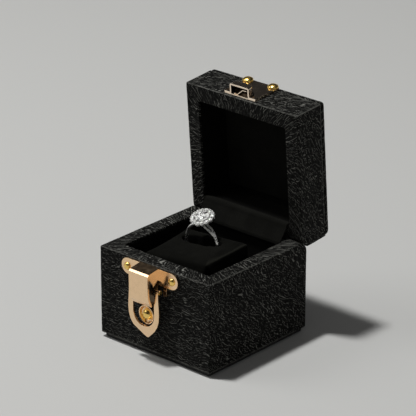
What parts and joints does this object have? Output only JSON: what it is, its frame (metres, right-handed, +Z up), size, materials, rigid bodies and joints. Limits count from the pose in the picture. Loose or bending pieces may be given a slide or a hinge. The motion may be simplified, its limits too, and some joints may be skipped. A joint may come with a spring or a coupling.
{
  "type": "ring display box",
  "caption": "Leather-covered box with a velvet lining, a hinged lid, a swing latch and a slotted cushion that shows one ring.",
  "frame": {"origin": "centre of the felt under the base, on the resting plane", "axes": "+X to the right seen from the front, front with the latch faces -Y, +Z up; the lid is open at rest"},
  "size_m": [0.06, 0.0814, 0.1027],
  "materials": {
    "case_board": "plain board, hidden",
    "black_leather": "wrinkled grain, satin",
    "black_felt": "flat felt",
    "foam": "open-cell foam, hidden",
    "black_velvet": "short velvet pile",
    "cushion_velvet": "velvet over foam",
    "hinge_brass": "satin",
    "hinge_steel": "drawn wire",
    "rose_gold": "polished rose-gold plating",
    "yellow_brass": "polished yellow-gold plating",
    "white_gold": "polished",
    "clear_stone": "cut and polished"
  },
  "bodies": {
    "base": {"base_core": "case_board", "base_leather": "black_leather", "bottom_board": "black_leather", "bottom_felt": "black_felt", "foam_bed": "foam", "base_lining": "black_velvet", "ring_cushion": "cushion_velvet", "hinge_cover_lower": "black_velvet", "hinge_leaf_lower": "hinge_brass", "hinge_pin": "hinge_steel", "latch_plate": "rose_gold", "latch_rosette": "rose_gold", "latch_bridge": "rose_gold", "latch_lugs": "rose_gold", "latch_nails": "yellow_brass", "bail_pins": "yellow_brass", "ring_shank": "white_gold", "ring_setting": "white_gold", "ring_prongs": "white_gold", "centre_stone": "clear_stone", "halo_stones": "clear_stone"},
    "bail": {"latch_bail": "rose_gold"},
    "lid": {"lid_core": "case_board", "lid_leather": "black_leather", "lid_top_board": "black_leather", "lid_lining": "black_velvet", "lid_pad": "black_velvet", "hinge_cover_upper": "black_velvet", "hinge_leaf_upper": "hinge_brass", "keeper_plate": "rose_gold", "keeper_box": "rose_gold", "keeper_spring": "rose_gold", "keeper_nails": "yellow_brass"}
  },
  "joints": [
    {"name": "lid_hinge", "type": "hinge", "parent": "base", "child": "lid", "pos_m": [0, 0.0265, 0.041], "axis": [1, 0, 0], "range_deg": [0, 85.5]},
    {"name": "bail_hinge", "type": "hinge", "parent": "base", "child": "bail", "pos_m": [-0.0016, -0.0332, 0.0316], "axis": [-1, 0, 0], "range_deg": [0, 179]}
  ]
}
